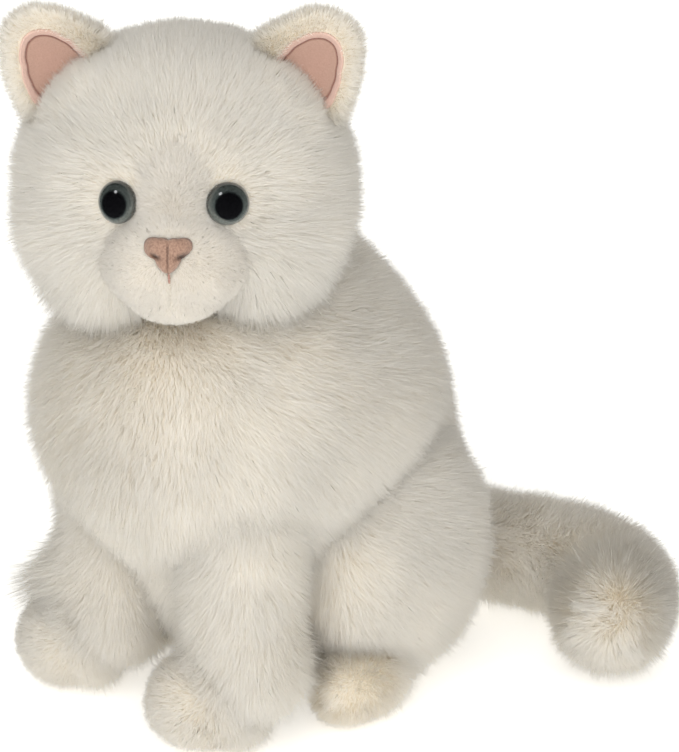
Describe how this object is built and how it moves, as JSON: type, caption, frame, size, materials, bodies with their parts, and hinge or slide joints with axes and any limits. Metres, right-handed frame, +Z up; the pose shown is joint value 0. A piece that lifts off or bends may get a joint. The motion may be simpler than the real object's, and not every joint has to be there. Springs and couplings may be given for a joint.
{
  "type": "plush cat",
  "caption": "Soft plush cat sitting upright with its head turned, long pale pile, plastic safety eyes, jointed neck, ears, front legs and a curled tail.",
  "frame": {"origin": "on the flat base panel under the body, at floor level", "axes": "+Z up, the body faces -Y, +X is the cat's own left side; the head looks 41 degrees to the left of -Y"},
  "size_m": [0.2141, 0.2416, 0.295],
  "materials": {
    "long_plush": "long soft pile",
    "short_plush": "short clipped pile",
    "ear_lining": "short velour",
    "nose_fabric": "brushed nap",
    "mouth_thread": "embroidery thread",
    "eye_plastic": "polished",
    "washer_plastic": "moulded",
    "stuffing": "polyester fibre",
    "pellet_bag": "woven bag filled with plastic beads"
  },
  "bodies": {
    "torso": {"torso_side_left": "long_plush", "torso_side_right": "long_plush", "chest_panel": "long_plush", "base_panel": "long_plush", "body_stuffing": "stuffing", "pellet_bag": "pellet_bag", "haunch_left": "long_plush", "haunch_stuffing_left": "stuffing", "hind_foot_left": "short_plush", "hind_foot_sole_left": "short_plush", "hind_foot_stuffing_left": "stuffing", "haunch_right": "long_plush", "haunch_stuffing_right": "stuffing", "hind_foot_right": "short_plush", "hind_foot_sole_right": "short_plush", "hind_foot_stuffing_right": "stuffing"},
    "neck": {"neck_stuffing": "stuffing", "neck_sleeve": "long_plush"},
    "head": {"head_side_left": "long_plush", "head_side_right": "long_plush", "forehead_gusset": "long_plush", "head_back_left": "long_plush", "head_back_right": "long_plush", "chin_panel": "long_plush", "muzzle_cover": "short_plush", "head_stuffing": "stuffing", "eye_left": "eye_plastic", "eye_washer_left": "washer_plastic", "eye_right": "eye_plastic", "eye_washer_right": "washer_plastic", "nose_pad": "nose_fabric", "mouth_stitch": "mouth_thread"},
    "ear_left": {"ear_back_left": "long_plush", "ear_lining_left": "ear_lining"},
    "ear_right": {"ear_back_right": "long_plush", "ear_lining_right": "ear_lining"},
    "front_leg_left": {"front_leg_outer_left": "long_plush", "front_leg_inner_left": "long_plush", "front_paw_left": "short_plush", "front_leg_stuffing_left": "stuffing"},
    "front_leg_right": {"front_leg_outer_right": "long_plush", "front_leg_inner_right": "long_plush", "front_paw_right": "short_plush", "front_leg_stuffing_right": "stuffing"},
    "tail": {"tail_upper": "long_plush", "tail_lower": "long_plush", "tail_stuffing": "stuffing"}
  },
  "joints": [
    {"name": "neck_turn", "type": "hinge", "parent": "torso", "child": "neck", "pos_m": [-0.002, -0.033, 0.228], "axis": [0, 0, 1], "range_deg": [-40, 20], "stiffness_Nm_per_rad": 0.12},
    {"name": "neck_nod", "type": "hinge", "parent": "neck", "child": "head", "pos_m": [-0.002, -0.033, 0.228], "axis": [0.7547, 0.6561, 0], "range_deg": [-10, 7], "stiffness_Nm_per_rad": 0.3},
    {"name": "ear_left_fold", "type": "hinge", "parent": "head", "child": "ear_left", "pos_m": [0.03469, -0.00509, 0.2655], "axis": [0.5826, 0.3783, -0.7193], "range_deg": [-15, 20], "stiffness_Nm_per_rad": 0.01},
    {"name": "ear_right_fold", "type": "hinge", "parent": "head", "child": "ear_right", "pos_m": [-0.03475, -0.06544, 0.2655], "axis": [0.4557, 0.5243, 0.7193], "range_deg": [-15, 20], "stiffness_Nm_per_rad": 0.01},
    {"name": "shoulder_left_lift", "type": "hinge", "parent": "torso", "child": "front_leg_left", "pos_m": [0.038, -0.044, 0.098], "axis": [-1, 0, 0], "range_deg": [0, 45], "stiffness_Nm_per_rad": 0.1},
    {"name": "shoulder_right_lift", "type": "hinge", "parent": "torso", "child": "front_leg_right", "pos_m": [-0.038, -0.038, 0.098], "axis": [-1, 0, 0], "range_deg": [0, 45], "stiffness_Nm_per_rad": 0.1},
    {"name": "tail_swing", "type": "hinge", "parent": "torso", "child": "tail", "pos_m": [0.006, 0.08, 0.033], "axis": [0, 0, 1], "range_deg": [-5, 30], "stiffness_Nm_per_rad": 0.05}
  ]
}
